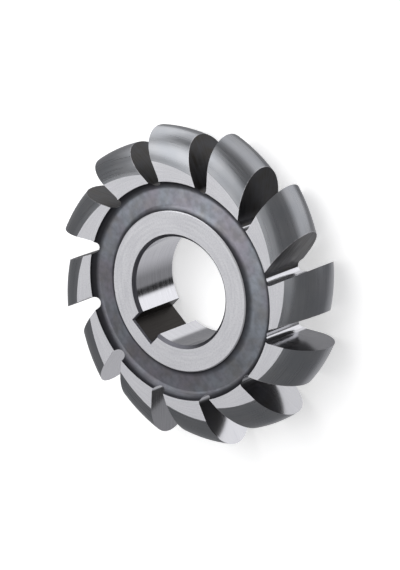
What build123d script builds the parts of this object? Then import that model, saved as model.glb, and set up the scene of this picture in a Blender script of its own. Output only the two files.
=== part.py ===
from build123d import *
import os
from math import cos, hypot, radians, sin, sqrt

# Convex radius cutter: one solid of high-speed steel, whose form-relieved teeth cut a half round.
# It lies flat on its lower hub face. The origin is the bore's centre on that face and +Z is the axis.
# One tip points along +X, the cutting faces look counterclockwise and the keyway points along -Y.

# Driving dimensions, in millimetres and degrees
outer_diameter = 80.0  # over the cutting tips
form_radius = 8.0  # the half round spans the whole width of the cutter
tooth_count = 12
relief_drop = 4.1  # fall of the form towards the axis over one tooth pitch
rake_angle = 10.0  # from the radius through a tip to the cutting face behind it
gullet_angle = 25.0  # from a cutting face to the back of the tooth ahead
gullet_radius = 1.7  # round floor of a gullet
root_diameter = 52.2  # circle that the gullet floors touch
bore_diameter = 27.0
bore_chamfer = 0.8
keyway_width = 7.0
keyway_height = 29.8  # from the keyway floor to the far side of the bore
keyway_direction = -90.0
keyway_chamfer = 0.4
hub_diameter = 40.0
hub_chamfer = 0.25
recess_diameter = 54.4  # outer wall of the turned recess round each hub
recess_depth = 1.5  # below the hub face
side_clearance = 0.05  # the tooth sides lie this far below the hub faces
tooth_allowance = 0.8  # degrees that a tooth is formed too thick on each side, before its gullets are cut

# Sizes that follow
width = 2 * form_radius
tooth_width = width - 2 * side_clearance
tip_radius = outer_diameter / 2
root_radius = root_diameter / 2
hub_radius = hub_diameter / 2
recess_radius = recess_diameter / 2
bore_radius = bore_diameter / 2
pitch_angle = 360 / tooth_count
core_radius = root_radius + gullet_radius
stock_radius = tip_radius + form_radius
middle_plane = Plane.XY.offset(width / 2)
STANDING = (Align.CENTER, Align.CENTER, Align.MIN)


def along(angle):
    """The unit vector at an angle from +X, in the plane of the faces."""
    return Vector(cos(radians(angle)), sin(radians(angle)))


def where_line_leaves(start, direction, radius):
    """The point where a line leaves a circle about the axis."""
    reach = start.dot(direction)
    return start + direction * (sqrt(reach**2 - start.dot(start) + radius**2) - reach)


# The gullet ahead of the tooth whose tip lies on +X: its straight sides meet at the apex, below its round floor
tip = Vector(tip_radius, 0)
face_direction = along(rake_angle)
back_direction = along(rake_angle + gullet_angle)
floor_line = tip + along(rake_angle + 90) * gullet_radius
floor_centre = where_line_leaves(floor_line, face_direction, core_radius)
apex_to_centre = gullet_radius / sin(radians(gullet_angle / 2))
apex = floor_centre - along(rake_angle + gullet_angle / 2) * apex_to_centre


def gullet():
    """The space between two teeth, as a wedge through the whole width."""
    far = 2 * stock_radius
    corners = [apex, apex + face_direction * far, apex + back_direction * far]
    section = make_face(Polyline(*corners, close=True))
    foot = section.vertices().sort_by_distance(apex)[0]
    return extrude(fillet(foot, gullet_radius), width)


def relieved_tooth():
    """One tooth: its form is turned about an axis off the centre, so that it falls away behind the tip."""
    axis_offset = relief_drop / radians(pitch_angle)
    swing = hypot(tip_radius, axis_offset)
    form_centre = swing - form_radius
    section = Pos(form_centre, 0) * Circle(form_radius)
    section += Pos(form_centre / 2, 0) * Rectangle(form_centre, width)
    section &= Pos(swing, 0) * Rectangle(2 * swing, tooth_width)
    turned = Pos(0, axis_offset, width / 2) * revolve(Plane.XZ * section, Axis.Z)

    front_foot = where_line_leaves(tip, face_direction, root_radius)
    front_end = where_line_leaves(tip, face_direction, stock_radius)
    back_foot = where_line_leaves(apex, back_direction, root_radius)
    back_end = where_line_leaves(apex, back_direction, stock_radius)
    front = [point.rotate(Axis.Z, tooth_allowance) for point in (front_foot, front_end)]
    back = [point.rotate(Axis.Z, -pitch_angle - tooth_allowance) for point in (back_end, back_foot)]
    blank = extrude(make_face(Polyline(*front, *back, close=True)), width)
    return turned & blank


def face_recess():
    """The ring turned into the upper face, from the hub and its chamfer out to the teeth."""
    floor = width - recess_depth
    above = width + hub_chamfer
    hub_foot = (hub_radius, floor)
    wall_foot = (recess_radius, floor)
    wall_end = (recess_radius, above)
    chamfer_end = (hub_radius - 2 * hub_chamfer, above)
    chamfer_foot = (hub_radius, width - hub_chamfer)
    section = make_face(Polyline(hub_foot, wall_foot, wall_end, chamfer_end, chamfer_foot, close=True))
    return revolve(Plane.XZ * section, Axis.Z)


def bore():
    """The arbor hole, with a chamfer at both ends."""
    hole = Cylinder(bore_radius, width, align=STANDING)
    mouth = Cone(bore_radius, bore_radius + bore_chamfer, bore_chamfer, align=STANDING)
    upper_mouth = Pos(0, 0, width - bore_chamfer) * mouth
    return hole + upper_mouth + upper_mouth.mirror(middle_plane)


def keyway():
    """The slot for the arbor's key, through the whole width."""
    floor_distance = keyway_height - bore_radius
    slot = Pos(floor_distance / 2, 0) * Rectangle(floor_distance, keyway_width)
    return Rot(0, 0, keyway_direction) * extrude(slot, width)


core = Pos(0, 0, side_clearance) * Cylinder(core_radius, tooth_width, align=STANDING)
hub = Cylinder(hub_radius, width, align=STANDING)
upper_recess = face_recess()

cutter = core + hub + PolarLocations(0, tooth_count) * relieved_tooth()
cutter -= [upper_recess, upper_recess.mirror(middle_plane)]
cutter -= PolarLocations(0, tooth_count) * gullet()
cutter -= [bore(), keyway()]
hub_faces = cutter.faces().sort_by(Axis.Z)
keyway_edges = hub_faces[0].edges().filter_by(GeomType.LINE) + hub_faces[-1].edges().filter_by(GeomType.LINE)
radius_cutter = chamfer(keyway_edges, keyway_chamfer).solid()
radius_cutter.label = "radius_cutter"

os.makedirs("parts", exist_ok=True)
export_step(radius_cutter, "parts/radius_cutter.step")
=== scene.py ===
from math import acos, asin, atan2, cos, degrees, hypot, pi, radians, sin, sqrt, tan

import bpy
from mathutils import Euler, Matrix, Vector


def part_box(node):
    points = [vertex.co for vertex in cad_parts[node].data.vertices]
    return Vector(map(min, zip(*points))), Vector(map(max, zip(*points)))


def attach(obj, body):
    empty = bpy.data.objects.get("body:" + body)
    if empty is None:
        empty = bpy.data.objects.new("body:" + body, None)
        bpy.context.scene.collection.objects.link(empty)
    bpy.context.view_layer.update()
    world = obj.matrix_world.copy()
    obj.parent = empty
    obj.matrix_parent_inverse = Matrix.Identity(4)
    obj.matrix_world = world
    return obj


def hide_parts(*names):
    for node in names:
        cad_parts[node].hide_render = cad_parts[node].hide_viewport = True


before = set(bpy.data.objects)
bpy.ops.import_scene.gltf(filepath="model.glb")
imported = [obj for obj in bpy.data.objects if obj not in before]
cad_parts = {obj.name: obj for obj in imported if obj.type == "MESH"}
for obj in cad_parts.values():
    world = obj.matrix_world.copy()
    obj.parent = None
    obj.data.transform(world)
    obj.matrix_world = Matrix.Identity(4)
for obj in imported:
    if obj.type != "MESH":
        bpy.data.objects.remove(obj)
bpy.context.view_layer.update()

# Convex radius cutter: a ring of form-relieved teeth round a bored hub, lying flat on its lower hub face.
# The body is one mesh: a tree repeats one tooth round the axis and welds the teeth to the bored hub.
# The cutter's lengths are in millimetres, with heights from its middle plane. The studio's are in metres.
# Angles are in degrees.

MM = 0.001
_, high_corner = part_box("radius_cutter")
tip_radius = high_corner.x / MM
half_width = high_corner.z / MM / 2

# Sizes of the teeth and the gullets between them
tooth_count = 12
form_radius = half_width  # the half round spans the whole width of the cutter
side_clearance = 0.05  # the tooth sides lie this far below the hub faces
relief_drop = 4.1  # fall of the form towards the axis over one tooth pitch
rake_angle = 10.0
gullet_angle = 25.0
gullet_radius = 1.7
root_radius = 26.1

# Sizes of the hub, the bore and the recess round the hub
bore_radius = 13.5
bore_chamfer = 0.8
keyway_width = 7.0
keyway_height = 29.8  # from the keyway floor to the far side of the bore
keyway_direction = -90.0
keyway_chamfer = 0.4
hub_radius = 20.0
hub_chamfer = 0.25
recess_radius = 27.2
recess_depth = 1.5
recess_round = 2.0  # the recess is rounded up to the hub and out to the teeth
recess_slope = 5.0  # its floor falls this much towards the teeth
seam_radius = 23.0  # the teeth and the hub are welded along this circle on the recess floor

# Fineness of the mesh
columns = 20  # facets along one tooth, and along its share of each turned ring
profile_facets = 22  # facets from the side of a tooth to its tip
round_facets = 16
gullet_facets = 16
land_facets = 3
keyway_side_facets = 3
edge_width = 0.22  # strip along the heel where a highlight is painted on the form's edge
smooth_below = 6.2  # facets that meet at less than this angle are shaded as one surface
weld_distance = 0.002
row_spacing = 0.02  # two rows of points on a tooth are never nearer than this

pitch = 360 / tooth_count
land_height = half_width - side_clearance
AXIS = Vector((0, 0))

# Finishes in the order of their numbers on the mesh
FINISHES = [
    "ground_side",
    "recess",
    "form",
    "form_edge_highlight",
    "cutting_face",
    "gullet_floor",
    "heel",
    "bore",
    "keyway",
    "chamfer",
]


def along(angle):
    """The unit vector at an angle from +X, in the plane of the faces."""
    return Vector((cos(radians(angle)), sin(radians(angle))))


def turned(point, angle):
    return Matrix.Rotation(radians(angle), 2) @ point


def where_line_leaves(start, direction, centre, radius):
    """The point where a line leaves a circle."""
    offset = start - centre
    reach = offset.dot(direction)
    return start + direction * (sqrt(reach**2 - offset.length_squared + radius**2) - reach)


def arc(centre, start, end, last_facet=edge_width):
    """Points from start to end, clockwise about a centre, with the radius changing evenly on the way.

    They are evenly apart, except for the last, which is the length of a facet from the one before it."""
    first = start - centre
    last = end - centre
    first_angle = degrees(atan2(first.y, first.x))
    last_angle = degrees(atan2(last.y, last.x))
    last_share = last_facet / (end - start).length
    shares = [(1 - last_share) * i / (columns - 1) for i in range(columns)] + [1.0]
    points = []
    for share in shares:
        angle = first_angle + (last_angle - first_angle) * share
        radius = first.length + (last.length - first.length) * share
        points.append(centre + along(angle) * radius)
    return points


# The gullet ahead of the tooth whose tip lies on +X, and the centre about which that tooth's form is swung
tip = Vector((tip_radius, 0))
face_direction = along(rake_angle)
heel_direction = along(rake_angle + gullet_angle)
floor_line = tip + along(rake_angle + 90) * gullet_radius
floor_centre = where_line_leaves(floor_line, face_direction, AXIS, root_radius + gullet_radius)
face_foot = floor_centre + along(rake_angle - 90) * gullet_radius
heel_foot = floor_centre + along(rake_angle + gullet_angle + 90) * gullet_radius
relief_centre = Vector((0, relief_drop / radians(pitch)))
swing_radius = (tip - relief_centre).length
form_centre_radius = swing_radius - form_radius


def tooth_ends(centre, radius):
    """Where a circle meets the cutting face of a tooth and its heel, or the gullet floors at their feet."""
    if centre == AXIS and radius < root_radius:
        bottom = floor_centre.normalized() * root_radius
        share = (radius - seam_radius) / (root_radius - seam_radius)
        boundary = Vector((seam_radius, 0)).lerp(bottom, share)
        return boundary, turned(boundary, -pitch)
    if centre == AXIS and radius < face_foot.length:
        front = gullet_floor_point(radius, 1)
    else:
        front = where_line_leaves(face_foot, face_direction, centre, radius)
    if centre == AXIS and radius < heel_foot.length:
        back = turned(gullet_floor_point(radius, -1), -pitch)
    else:
        foot = turned(heel_foot, -pitch)
        back = where_line_leaves(foot, turned(heel_direction, -pitch), centre, radius)
    return front, back


def gullet_floor_point(radius, side):
    """The point of the gullet's round floor at a radius, towards the cutting face (1) or the heel (-1)."""
    reach = floor_centre.length
    share = (reach**2 + gullet_radius**2 - radius**2) / (2 * reach * gullet_radius)
    turn = degrees(acos(max(-1, min(1, share))))
    return floor_centre + turned(-floor_centre.normalized(), side * turn) * gullet_radius


# The section of the recess, as radius and height: a sloping floor, rounded up to the hub and the teeth
floor_middle = Vector(((hub_radius + recess_radius) / 2, half_width - recess_depth))
floor_fall = along(-recess_slope)
floor_normal = along(90 - recess_slope)
hub_edge = Vector((hub_radius, half_width - hub_chamfer))
tooth_edge = Vector((recess_radius, land_height))
round_line = floor_middle + floor_normal * recess_round
hub_round = where_line_leaves(round_line, floor_fall, hub_edge, recess_round)
tooth_round = where_line_leaves(round_line, -floor_fall, tooth_edge, recess_round)


def recess_round_points(centre, edge):
    """The round at one side of the recess, from its foot on the floor to its edge."""
    foot = centre - floor_normal * recess_round
    start = degrees(atan2(foot.y - centre.y, foot.x - centre.x))
    end = degrees(atan2(edge.y - centre.y, edge.x - centre.x))
    if end > 90:
        end -= 360
    angles = [start + (end - start) * i / round_facets for i in range(round_facets + 1)]
    return [centre + along(angle) * recess_round for angle in angles]


def side_height(radius):
    """How far the side of the cutter stands from the middle plane, from the recess out to the form."""
    if radius >= recess_radius:
        return land_height
    foot = tooth_round - floor_normal * recess_round
    if radius <= foot.x:
        return floor_middle.y - (radius - floor_middle.x) * tan(radians(recess_slope))
    return tooth_round.y - sqrt(max(0, recess_round**2 - (radius - tooth_round.x) ** 2))


def tooth_rows():
    """The upper half of a tooth, as rows of points from the recess out to the tip.

    Each row is its points, its height and the finish of the strip beyond it."""
    inward = -floor_centre.normalized() * gullet_radius
    floor_turn = degrees(floor_centre.angle(floor_centre - face_foot))
    section = []
    for i in range(gullet_facets + 1):
        radius = (floor_centre + turned(inward, floor_turn * i / gullet_facets)).length
        section.append(Vector((radius, side_height(radius))))
    section += recess_round_points(tooth_round, tooth_edge)
    section.sort(key=lambda point: point.x)

    seam_ends = tooth_ends(AXIS, seam_radius)
    seam_facet = (seam_ends[1] - seam_ends[0]).length / columns
    rows = [(arc(AXIS, *seam_ends, seam_facet), side_height(seam_radius), "recess")]
    next_radius = seam_radius
    for point in section:
        if point.x < next_radius:
            continue
        finish = "recess" if point.y < land_height - weld_distance else "ground_side"
        rows.append((arc(AXIS, *tooth_ends(AXIS, point.x)), point.y, finish))
        next_radius = point.x + row_spacing

    crease_angle = asin(land_height / form_radius)
    form = []
    for i in range(profile_facets + 1):
        angle = crease_angle * (1 - i / profile_facets)
        radius = form_centre_radius + form_radius * cos(angle)
        ends = tooth_ends(relief_centre, radius)
        form.append((arc(relief_centre, *ends), form_radius * sin(angle), "form"))
    crease = form[0][0]
    inner = rows[-1][0]
    for i in range(1, land_facets):
        between = [a.lerp(b, i / land_facets) for a, b in zip(inner, crease)]
        rows.append((between, land_height, "ground_side"))
    return rows + form


class Facets:
    """Loose facets with a finish and a place in the grain, in millimetres along and across it."""

    def __init__(self):
        self.points = []
        self.faces = []
        self.finishes = []
        self.grain = []

    def add(self, corners, grain, finish):
        start = len(self.points)
        self.points += [Vector(corner) * MM for corner in corners]
        self.faces.append(range(start, start + len(corners)))
        self.grain += grain
        self.finishes.append(FINISHES.index(finish))

    def mesh(self, name):
        mesh = bpy.data.meshes.new(name)
        mesh.from_pydata(self.points, [], self.faces)
        grain = mesh.uv_layers.new(name="grain")
        grain.data.foreach_set("uv", [value for place in self.grain for value in place])
        finish = mesh.attributes.new("finish", "INT", "FACE")
        finish.data.foreach_set("value", self.finishes)
        return mesh


def lifted(point, height):
    return Vector((point.x, point.y, half_width + height))


def tooth_mesh():
    """One tooth with its share of the recess floor, open at the seam and between the gullets' bottoms."""
    facets = Facets()
    rows = tooth_rows()
    across = [0.0]
    for (inner, low, _), (outer, high, _) in zip(rows, rows[1:]):
        across.append(across[-1] + hypot((outer[0] - inner[0]).length, high - low))

    for side in (1, -1):
        for i, ((inner, low, finish), (outer, high, _)) in enumerate(zip(rows, rows[1:])):
            for j in range(columns):
                corners = [(inner, j, low), (inner, j + 1, low), (outer, j + 1, high), (outer, j, high)]
                points = [lifted(row[k], side * height) for row, k, height in corners]
                along_cut = [(row[k] - row[0]).length for row, k, _ in corners]
                across_cut = [side * across[row_number] for row_number in (i, i, i + 1, i + 1)]
                grain = list(zip(along_cut, across_cut))
                if side < 0:
                    points.reverse()
                    grain.reverse()
                # The last strip of the form, along the heel, gets the painted highlight of the edge
                at_heel = finish == "form" and j == columns - 1
                facets.add(points, grain, "form_edge_highlight" if at_heel else finish)

    for end in (0, columns):
        for i, ((inner, low, _), (outer, high, _)) in enumerate(zip(rows, rows[1:])):
            near = inner[end]
            if near.length < root_radius - weld_distance:
                continue
            far = outer[end]
            corners = [(near, low), (far, high), (far, -high), (near, -low)]
            if end:
                finish = "heel"
            elif far.length <= face_foot.length + weld_distance:
                finish = "gullet_floor"
            else:
                finish = "cutting_face"
            if high == 0:
                corners.pop(2)
            points = [lifted(point, height) for point, height in corners]
            grain = [(height, point.length) for point, height in corners]
            if end:
                points.reverse()
                grain.reverse()
            facets.add(points, grain, finish)
    return facets.mesh("tooth")


def bore_outline(depth):
    """The edge of the bore and its keyway at a depth below a hub face, from the middle of the keyway."""
    half_slot = keyway_width / 2 + max(0, keyway_chamfer - depth)
    floor = keyway_height - bore_radius + max(0, keyway_chamfer - depth)
    radius = bore_radius + max(0, bore_chamfer - depth)
    corner = Vector((floor, half_slot))
    mouth_angle = degrees(asin(half_slot / radius))
    mouth = along(mouth_angle) * radius
    ring_facets = tooth_count * columns
    floor_facets = columns // 2 - keyway_side_facets
    arc_facets = ring_facets // 2 - floor_facets - keyway_side_facets

    half = [Vector((floor, half_slot * i / floor_facets)) for i in range(floor_facets)]
    half += [corner.lerp(mouth, i / keyway_side_facets) for i in range(keyway_side_facets)]
    bore_angles = [mouth_angle + (180 - mouth_angle) * i / arc_facets for i in range(arc_facets + 1)]
    half += [along(angle) * radius for angle in bore_angles]
    other_half = [Vector((point.x, -point.y)) for point in half[-2:0:-1]]
    return [turned(point, keyway_direction) for point in half + other_half]


def ring(radius):
    ring_facets = tooth_count * columns
    return [along(keyway_direction + 360 * i / ring_facets) * radius for i in range(ring_facets)]


def hub_rings():
    """The upper half of the hub, as rings from the bore's middle up and out to the seam."""
    between = (bore_chamfer + keyway_chamfer) / 2
    chamfer_steps = [bore_chamfer, between, keyway_chamfer, keyway_chamfer / 2]
    rings = [(bore_outline(half_width), 0, "bore")]
    rings += [(bore_outline(depth), half_width - depth, "bore_chamfer") for depth in chamfer_steps]
    rings.append((bore_outline(0), half_width, "ground_side"))
    rings.append((ring(hub_radius - hub_chamfer), half_width, "ground_side"))
    for point in reversed(recess_round_points(hub_round, hub_edge)):
        rings.append((ring(point.x), point.y, "recess"))
    rings.append((ring(seam_radius), side_height(seam_radius), "recess"))
    return rings


def hub_mesh():
    """The bored hub and the floor of both recesses out to the seam."""
    facets = Facets()
    rings = hub_rings()
    ring_facets = tooth_count * columns
    keyway_facets = columns // 2
    across = 0.0
    for (inner, low, finish), (outer, high, _) in zip(rings, rings[1:]):
        step = hypot((outer[0] - inner[0]).length, high - low)
        for side in (1, -1):
            for j in range(ring_facets):
                k = (j + 1) % ring_facets
                in_keyway = j < keyway_facets or j >= ring_facets - keyway_facets
                if finish == "bore":
                    own_finish = "keyway" if in_keyway else "bore"
                elif finish == "bore_chamfer":
                    below_mouth = low < half_width - keyway_chamfer
                    own_finish = "keyway" if in_keyway and below_mouth else "chamfer"
                else:
                    own_finish = finish
                corners = [(inner[j], low), (outer[j], high), (outer[k], high), (inner[k], low)]
                points = [lifted(point, side * height) for point, height in corners]
                turn = outer[j].length * radians(360 / ring_facets)
                grain = [
                    (turn * j, side * across),
                    (turn * j, side * (across + step)),
                    (turn * (j + 1), side * (across + step)),
                    (turn * (j + 1), side * across),
                ]
                if side < 0:
                    points.reverse()
                    grain.reverse()
                facets.add(points, grain, own_finish)
        across += step
    return facets.mesh("hub")


def linear(hex_colour):
    """The linear colour of an sRGB hex value."""
    channels = [int(hex_colour[i : i + 2], 16) / 255 for i in (1, 3, 5)]
    return [c / 12.92 if c <= 0.04045 else ((c + 0.055) / 1.055) ** 2.4 for c in channels] + [1.0]


def add_node(tree, kind, inputs=None, **settings):
    """Adds a node with its settings. Inputs are values, or sockets to link, by socket name or number."""
    node = tree.nodes.new(kind)
    for name, value in settings.items():
        setattr(node, name, value)
    for socket, value in (inputs or {}).items():
        if isinstance(value, bpy.types.NodeSocket):
            tree.links.new(value, node.inputs[socket])
        else:
            node.inputs[socket].default_value = value
    return node


def steel(name):
    """A new metal, with its tree and shader."""
    material = bpy.data.materials.new(name)
    material.use_nodes = True
    tree = material.node_tree
    tree.nodes.clear()
    shader = add_node(tree, "ShaderNodeBsdfPrincipled", {"Metallic": 1.0})
    add_node(tree, "ShaderNodeOutputMaterial", {"Surface": shader.outputs["BSDF"]})
    return material, tree, shader


def place_along_cut(tree):
    """Millimetres along and across the way the tool went, moved on so that no two teeth look alike."""
    move_per_tooth = (37.0, 0.0, 9.0)
    grain = add_node(tree, "ShaderNodeUVMap", uv_map="grain")
    tooth_number = add_node(tree, "ShaderNodeAttribute", attribute_name="tooth_number")
    moves = {0: tooth_number.outputs["Fac"], 1: move_per_tooth}
    step = add_node(tree, "ShaderNodeVectorMath", moves, operation="MULTIPLY")
    places = {0: grain.outputs["UV"], 1: step.outputs[0]}
    return add_node(tree, "ShaderNodeVectorMath", places, operation="ADD").outputs[0]


def tool_marks(tree, length, spacing, detail=2.0):
    """Marks of a tool from 0 to 1, so long along the cut and so far apart across it, in millimetres."""
    drawn_out = add_node(
        tree,
        "ShaderNodeMapping",
        {"Vector": place_along_cut(tree), "Scale": (1 / length, 1 / spacing, 1.0)},
    )
    pattern = {"Vector": drawn_out.outputs[0], "Scale": 1.0, "Detail": detail}
    return add_node(tree, "ShaderNodeTexNoise", pattern).outputs["Fac"]


def clouds(tree, size, detail=2.0, shift=0.0):
    """Cloudy patches from 0 to 1, of a size in millimetres. A shift keeps two such patterns apart."""
    place = add_node(tree, "ShaderNodeTexCoord").outputs["Object"]
    moved = add_node(tree, "ShaderNodeMapping", {"Vector": place, "Location": (shift, shift, 0.0)})
    pattern = {"Vector": moved.outputs[0], "Scale": 1 / (size * MM), "Detail": detail}
    return add_node(tree, "ShaderNodeTexNoise", pattern).outputs["Fac"]


def distance_from_axis(tree):
    """Millimetres from the axis of the cutter."""
    flattening = {0: add_node(tree, "ShaderNodeTexCoord").outputs["Object"], 1: (1 / MM, 1 / MM, 0.0)}
    flat = add_node(tree, "ShaderNodeVectorMath", flattening, operation="MULTIPLY").outputs[0]
    return add_node(tree, "ShaderNodeVectorMath", {0: flat}, operation="LENGTH").outputs["Value"]


def spread(tree, pattern, start, end, low=0.35, high=0.65):
    """Turns the middle part of a pattern, from low to high, into values from start to end."""
    limits = {"From Min": low, "From Max": high, "To Min": start, "To Max": end}
    return add_node(tree, "ShaderNodeMapRange", {"Value": pattern, **limits}).outputs[0]


def blend(tree, share, first, second):
    """A colour between two, which are sRGB hex values, linear values or sockets."""
    first, second = [linear(c) if isinstance(c, str) else c for c in (first, second)]
    mixed = add_node(tree, "ShaderNodeMix", {0: share, 6: first, 7: second}, data_type="RGBA")
    return mixed.outputs[2]


def cut_into(tree, shader, pattern, depth):
    """Cuts a pattern into the surface, to a depth in millimetres."""
    relief = add_node(tree, "ShaderNodeBump", {"Height": pattern, "Distance": depth * MM})
    tree.links.new(relief.outputs[0], shader.inputs["Normal"])


def ground_sides():
    """High-speed steel ground flat on a turning table: pale and satin, with faint lines round the axis.

    The lines of a 46 grit wheel are about 0.05 mm apart. They are drawn at 0.35 mm, to show."""
    material, tree, shader = steel("high_speed_steel_ground_side")
    lines = tool_marks(tree, 9.0, 0.35)
    speckle = tool_marks(tree, 0.35, 0.3, 0.0)
    wear = clouds(tree, 7.0)
    tone = blend(tree, spread(tree, lines, 0, 1, 0.3, 0.7), "#D6D6DA", "#E2E2E5")
    tone = blend(tree, spread(tree, speckle, 0, 0.4, 0.45, 0.75), tone, "#C6C6CB")
    tree.links.new(tone, shader.inputs["Base Color"])
    tree.links.new(spread(tree, wear, 0.54, 0.64), shader.inputs["Roughness"])
    cut_into(tree, shader, lines, 0.003)
    return material


def turned_recess():
    """High-speed steel turned and then hardened: a thin oxide dulls it in blue, violet and brown greys.

    Both corners are painted darker, towards black, as painted shade next to the hub and next to the teeth."""
    material, tree, shader = steel("high_speed_steel_turned_and_hardened")
    lines = tool_marks(tree, 12.0, 0.4)
    tone = blend(tree, spread(tree, clouds(tree, 9.0, 3.0), 0, 1, 0.4, 0.6), "#8C9199", "#88858E")
    tone = blend(tree, spread(tree, clouds(tree, 4.0, 3.0, 0.1), 0, 0.6, 0.45, 0.7), tone, "#7A7774")
    tone = blend(tree, spread(tree, clouds(tree, 1.6, 2.0, 0.2), 0, 0.35, 0.4, 0.65), tone, "#62646A")
    # Painted shade: the recess floor is blended towards black near the teeth and near the hub
    from_axis = distance_from_axis(tree)
    black = "#3C3C40"
    painted_shade_towards_teeth = (recess_radius - 2.3, recess_radius - 0.8)
    painted_shade_towards_hub = (hub_radius, hub_radius + 1.4)
    tone = blend(tree, spread(tree, from_axis, 0, 0.9, *painted_shade_towards_teeth), tone, black)
    tone = blend(tree, spread(tree, from_axis, 0.8, 0, *painted_shade_towards_hub), tone, black)
    tree.links.new(tone, shader.inputs["Base Color"])
    tree.links.new(spread(tree, clouds(tree, 3.0), 0.32, 0.42), shader.inputs["Roughness"])
    cut_into(tree, shader, lines, 0.004)
    return material


def relief_ground_form():
    """High-speed steel ground on the relieving lathe: dark and glossy, with faint lines along the relief.

    The lines of such a wheel are about 0.05 mm apart. They are drawn at 0.6 mm, to show."""
    material, tree, shader = steel("high_speed_steel_relief_ground")
    lines = tool_marks(tree, 18.0, 0.6)
    tone = blend(tree, spread(tree, lines, 0, 1, 0.3, 0.7), "#86878A", "#8E8F92")
    tone = blend(tree, spread(tree, clouds(tree, 6.0), 0, 0.5), tone, "#7D8085")
    tree.links.new(tone, shader.inputs["Base Color"])
    tree.links.new(spread(tree, lines, 0.27, 0.31), shader.inputs["Roughness"])
    cut_into(tree, shader, lines, 0.0005)
    return material


def painted_highlight_form_edge():
    """High-speed steel of the form, painted lighter in a narrow strip along its edge over the heel, as a
    painted highlight of that edge.
    """
    material, tree, shader = steel("high_speed_steel_painted_edge_highlight")
    marks = tool_marks(tree, 0.5, 0.8)
    # Painted highlight: this strip is lighter than the form beside it
    tone = blend(tree, spread(tree, marks, 0, 1), "#858588", "#A9A9AC")
    tree.links.new(tone, shader.inputs["Base Color"])
    tree.links.new(spread(tree, marks, 0.3, 0.45), shader.inputs["Roughness"])
    return material


def ground_gullet_floor():
    """High-speed steel at the bottom of a gullet, half bright where the sharpening wheel reached it.

    The lines of a 60 grit wheel are about 0.04 mm apart. They are drawn at 0.3 mm, to show."""
    material, tree, shader = steel("high_speed_steel_gullet_floor")
    lines = tool_marks(tree, 10.0, 0.3)
    tone = blend(tree, spread(tree, lines, 0, 1, 0.3, 0.7), "#B0B0B4", "#C4C4C8")
    tree.links.new(tone, shader.inputs["Base Color"])
    tree.links.new(spread(tree, lines, 0.14, 0.22), shader.inputs["Roughness"])
    return material


def ground_cutting_face():
    """High-speed steel sharpened with a dish wheel: bright, with straight fine lines from root to edge.

    The lines of a 60 grit wheel are about 0.04 mm apart. They are drawn at 0.35 mm, to show."""
    material, tree, shader = steel("high_speed_steel_sharpened_face")
    lines = tool_marks(tree, 0.35, 12.0)
    tone = blend(tree, spread(tree, lines, 0, 1, 0.3, 0.7), "#ACACB0", "#B8B8BB")
    tree.links.new(tone, shader.inputs["Base Color"])
    tree.links.new(spread(tree, lines, 0.13, 0.19), shader.inputs["Roughness"])
    cut_into(tree, shader, lines, 0.001)
    return material


def milled_heel():
    """High-speed steel milled and then hardened: black and brown oxide over faint milling marks."""
    material, tree, shader = steel("high_speed_steel_milled_black")
    marks = tool_marks(tree, 0.6, 6.0)
    tone = blend(tree, spread(tree, clouds(tree, 3.0), 0, 1), "#3A3A3C", "#34312C")
    tone = blend(tree, spread(tree, marks, 0, 0.6), tone, "#464649")
    tree.links.new(tone, shader.inputs["Base Color"])
    tree.links.new(spread(tree, marks, 0.32, 0.45), shader.inputs["Roughness"])
    cut_into(tree, shader, marks, 0.003)
    return material


def ground_bore():
    """High-speed steel ground inside to fit its arbor: bright, with fine lines round the bore.

    The lines of a 60 grit wheel are about 0.04 mm apart. They are drawn at 0.3 mm, to show."""
    material, tree, shader = steel("high_speed_steel_ground_bore")
    lines = tool_marks(tree, 8.0, 0.3)
    tone = blend(tree, spread(tree, lines, 0, 1, 0.3, 0.7), "#B8B8BC", "#C4C4C8")
    tree.links.new(tone, shader.inputs["Base Color"])
    tree.links.new(spread(tree, lines, 0.1, 0.15), shader.inputs["Roughness"])
    cut_into(tree, shader, lines, 0.0003)
    return material


def broached_keyway():
    """High-speed steel broached and then hardened: brownish black, with straight lines through the bore."""
    material, tree, shader = steel("high_speed_steel_broached_black")
    lines = tool_marks(tree, 0.4, 10.0)
    tone = blend(tree, spread(tree, lines, 0, 1, 0.3, 0.7), "#242120", "#32302E")
    tree.links.new(tone, shader.inputs["Base Color"])
    tree.links.new(spread(tree, lines, 0.34, 0.46), shader.inputs["Roughness"])
    cut_into(tree, shader, lines, 0.003)
    return material


def turned_chamfer():
    """High-speed steel turned before it was hardened, on the narrow chamfers: a dull dark grey."""
    material, tree, shader = steel("high_speed_steel_turned_chamfer")
    lines = tool_marks(tree, 6.0, 0.25)
    tone = blend(tree, spread(tree, lines, 0, 1, 0.3, 0.7), "#54545A", "#6A6A70")
    tree.links.new(tone, shader.inputs["Base Color"])
    tree.links.new(spread(tree, lines, 0.34, 0.44), shader.inputs["Roughness"])
    return material


MATERIALS = {
    "ground_side": ground_sides(),
    "recess": turned_recess(),
    "form": relief_ground_form(),
    "form_edge_highlight": painted_highlight_form_edge(),
    "cutting_face": ground_cutting_face(),
    "gullet_floor": ground_gullet_floor(),
    "heel": milled_heel(),
    "bore": ground_bore(),
    "keyway": broached_keyway(),
    "chamfer": turned_chamfer(),
}


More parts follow.
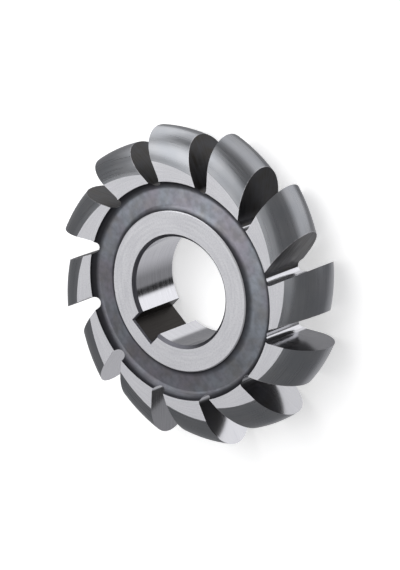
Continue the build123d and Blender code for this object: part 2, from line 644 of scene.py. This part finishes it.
def cutter_tree():
    """Repeats the tooth round the axis, welds the teeth to the hub and gives each finish its material."""
    tree = bpy.data.node_groups.new("toothed_cutter", "GeometryNodeTree")
    tree.interface.new_socket("Tooth", in_out="INPUT", socket_type="NodeSocketGeometry")
    tree.interface.new_socket("Hub", in_out="INPUT", socket_type="NodeSocketObject")
    tree.interface.new_socket("Teeth", in_out="INPUT", socket_type="NodeSocketInt")
    tree.interface.new_socket("Weld distance", in_out="INPUT", socket_type="NodeSocketFloat")
    tree.interface.new_socket("Cutter", in_out="OUTPUT", socket_type="NodeSocketGeometry")
    sizes = add_node(tree, "NodeGroupInput").outputs

    places = add_node(tree, "GeometryNodePoints", {"Count": sizes["Teeth"]})
    number = add_node(tree, "GeometryNodeInputIndex")
    step = add_node(tree, "ShaderNodeMath", {0: 2 * pi, 1: sizes["Teeth"]}, operation="DIVIDE")
    factors = {0: number.outputs[0], 1: step.outputs[0]}
    turn = add_node(tree, "ShaderNodeMath", factors, operation="MULTIPLY")
    rotation = add_node(tree, "ShaderNodeCombineXYZ", {"Z": turn.outputs[0]})
    teeth = add_node(
        tree,
        "GeometryNodeInstanceOnPoints",
        {"Points": places.outputs[0], "Instance": sizes["Tooth"], "Rotation": rotation.outputs[0]},
    )
    numbered = add_node(
        tree,
        "GeometryNodeStoreNamedAttribute",
        {"Geometry": teeth.outputs[0], "Name": "tooth_number", "Value": number.outputs[0]},
        data_type="FLOAT",
        domain="INSTANCE",
    )
    hub = add_node(tree, "GeometryNodeObjectInfo", {"Object": sizes["Hub"]})
    joined = add_node(tree, "GeometryNodeJoinGeometry", {"Geometry": hub.outputs["Geometry"]})
    tree.links.new(numbered.outputs[0], joined.inputs[0])
    realized = add_node(tree, "GeometryNodeRealizeInstances", {"Geometry": joined.outputs[0]})
    welded = add_node(
        tree,
        "GeometryNodeMergeByDistance",
        {"Geometry": realized.outputs[0], "Distance": sizes["Weld distance"]},
    )
    result = welded.outputs[0]
    finish = add_node(tree, "GeometryNodeInputNamedAttribute", {"Name": "finish"}, data_type="INT")
    for number_of_finish, name in enumerate(FINISHES):
        chosen = add_node(
            tree,
            "FunctionNodeCompare",
            {2: finish.outputs[0], 3: number_of_finish},
            data_type="INT",
            operation="EQUAL",
        )
        painted = add_node(
            tree,
            "GeometryNodeSetMaterial",
            {"Geometry": result, "Selection": chosen.outputs[0], "Material": MATERIALS[name]},
        )
        result = painted.outputs[0]
    add_node(tree, "NodeGroupOutput", {"Cutter": result})
    return tree


def socket_name(tree, name):
    return next(item.identifier for item in tree.interface.items_tree if item.name == name)


def show(name, mesh):
    piece = bpy.data.objects.new(name, mesh)
    bpy.context.scene.collection.objects.link(piece)
    return piece


# The cutter itself
tooth = show("tooth", tooth_mesh())
hub = show("hub", hub_mesh())
tree = cutter_tree()
pattern = tooth.modifiers.new("teeth round the hub", "NODES")
pattern.node_group = tree
pattern[socket_name(tree, "Hub")] = hub
pattern[socket_name(tree, "Teeth")] = tooth_count
pattern[socket_name(tree, "Weld distance")] = weld_distance * MM
bpy.context.view_layer.update()
ready = tooth.evaluated_get(bpy.context.evaluated_depsgraph_get())
cutter_mesh = bpy.data.meshes.new_from_object(ready)
for loose in (tooth, hub):
    bpy.data.objects.remove(loose)
cutter_mesh.name = "radius_cutter_body"
cutter_mesh.shade_smooth()
cutter_mesh.set_sharp_from_angle(angle=radians(smooth_below))
cutter = show("radius_cutter_body", cutter_mesh)
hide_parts("radius_cutter")
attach(cutter, "root")

# Camera at the photograph's viewing angle
camera_azimuth = 68.85
camera_elevation = 50.16
camera_roll = -110.53
camera_distance = 1.1308
picture_height = 570
focal_pixels = 4657.4
centre_right_of_middle = -1.55
centre_above_middle = 0.66

lens = bpy.data.cameras.new("camera")
lens.sensor_width = 36.0
lens.lens = focal_pixels * lens.sensor_width / picture_height
lens.shift_x = -centre_right_of_middle / picture_height
lens.shift_y = -centre_above_middle / picture_height
lens.clip_start = 0.01
camera = bpy.data.objects.new("camera", lens)
bpy.context.scene.collection.objects.link(camera)
bpy.context.scene.camera = camera
upright = Euler((radians(90 - camera_elevation), 0, radians(90 + camera_azimuth))).to_matrix()
orientation = upright @ Matrix.Rotation(radians(camera_roll), 3, "Z")
aim = Vector((0, 0, half_width * MM))
camera.matrix_world = Matrix.Translation(aim + orientation.col[2] * camera_distance) @ orientation.to_4x4()


def softbox(name, azimuth, elevation, distance, size, radiance):
    """A rectangular lamp that faces the cutter, whose power follows from how bright it looks."""
    light = bpy.data.lights.new(name, "AREA")
    light.shape = "RECTANGLE"
    light.size, light.size_y = size
    light.energy = radiance * pi * size[0] * size[1]
    lamp = bpy.data.objects.new(name, light)
    bpy.context.scene.collection.objects.link(lamp)
    facing = Euler((radians(90 - elevation), 0, radians(90 + azimuth))).to_matrix()
    lamp.matrix_world = Matrix.Translation(aim + facing.col[2] * distance) @ facing.to_4x4()
    lamp.visible_camera = False


# Soft studio light
softbox("key_softbox", azimuth=160, elevation=46, distance=0.5, size=(0.48, 0.62), radiance=1.45)
# The middle of the large softbox is brighter, as in a real one
softbox("key_middle", azimuth=166, elevation=43, distance=0.49, size=(0.3, 0.28), radiance=1.2)
# The card reaches below the floor, for the undersides of the teeth
softbox("low_card", azimuth=176, elevation=-16, distance=0.5, size=(0.22, 0.48), radiance=1.8)
softbox("high_fill", azimuth=232, elevation=60, distance=0.5, size=(0.19, 0.27), radiance=1.35)
softbox("top_light", azimuth=330, elevation=84, distance=0.5, size=(0.26, 0.26), radiance=0.6)

# Pale floor, which is a plain backdrop: the metal doesn't mirror it, and it holds no light back
floor_reach = 6.0
floor_glow = 0.5
floor_corners = [(x * floor_reach, y * floor_reach, 0) for x, y in ((-1, -1), (1, -1), (1, 1), (-1, 1))]
floor_mesh = bpy.data.meshes.new("floor")
floor_mesh.from_pydata(floor_corners, [], [(0, 1, 2, 3)])
floor = show("floor", floor_mesh)
floor_material = bpy.data.materials.new("floor_white_card")
floor_material.use_nodes = True
floor_shader = floor_material.node_tree.nodes["Principled BSDF"]
floor_shader.inputs["Base Color"].default_value = linear("#F4F4F4")
floor_shader.inputs["Roughness"].default_value = 0.8
floor_shader.inputs["Emission Color"].default_value = (1, 1, 1, 1)
floor_shader.inputs["Emission Strength"].default_value = floor_glow
floor_mesh.materials.append(floor_material)
floor.visible_glossy = False
floor.visible_shadow = False

# Grey room, whose lower half is light in front and at one side, with a narrow dark gap between the two
room_above = (0.34, 0.34, 0.345, 1.0)
room_below = (0.35, 0.35, 0.36, 1.0)
room_in_front = (1.55, 1.55, 1.57, 1.0)
room_at_side = (0.75, 0.75, 0.77, 1.0)
room_beyond_front = (1.2, 1.2, 1.21, 1.0)
room_gap = (0.02, 0.02, 0.02, 1.0)
above_from = -0.3  # sine of the elevation from which the lower half turns into the upper one
world = bpy.data.worlds.new("studio")
world.use_nodes = True
room = world.node_tree
direction = add_node(room, "ShaderNodeTexCoord").outputs["Generated"]


def round_part(azimuth, elevation, whole_within, none_beyond):
    """How far a direction lies in a round part of the room, from 0 to 1, by the angle from its middle."""
    middle = along(azimuth).to_3d() * cos(radians(elevation)) + Vector((0, 0, sin(radians(elevation))))
    sides = {0: direction, 1: middle}
    nearness = add_node(room, "ShaderNodeVectorMath", sides, operation="DOT_PRODUCT").outputs["Value"]
    return spread(room, nearness, 0, 1, cos(radians(none_beyond)), cos(radians(whole_within)))


height = add_node(room, "ShaderNodeSeparateXYZ", {0: direction}).outputs["Z"]
parts_of_room = [
    (round_part(azimuth=106, elevation=0, whole_within=53, none_beyond=74), room_in_front),
    (round_part(azimuth=43, elevation=-50, whole_within=3.5, none_beyond=7), room_gap),
    (round_part(azimuth=82, elevation=-52, whole_within=17, none_beyond=21), room_in_front),
    (round_part(azimuth=145, elevation=-50, whole_within=14, none_beyond=19), room_beyond_front),
    (round_part(azimuth=316, elevation=-60, whole_within=16, none_beyond=33), room_at_side),
    (spread(room, height, 0, 1, above_from, 0), room_above),
]
room_colour = room_below
for share, colour in parts_of_room:
    room_colour = blend(room, share, room_colour, colour)
room.links.new(room_colour, room.nodes["Background"].inputs["Color"])
bpy.context.scene.world = world
bpy.context.scene.view_settings.view_transform = "Standard"
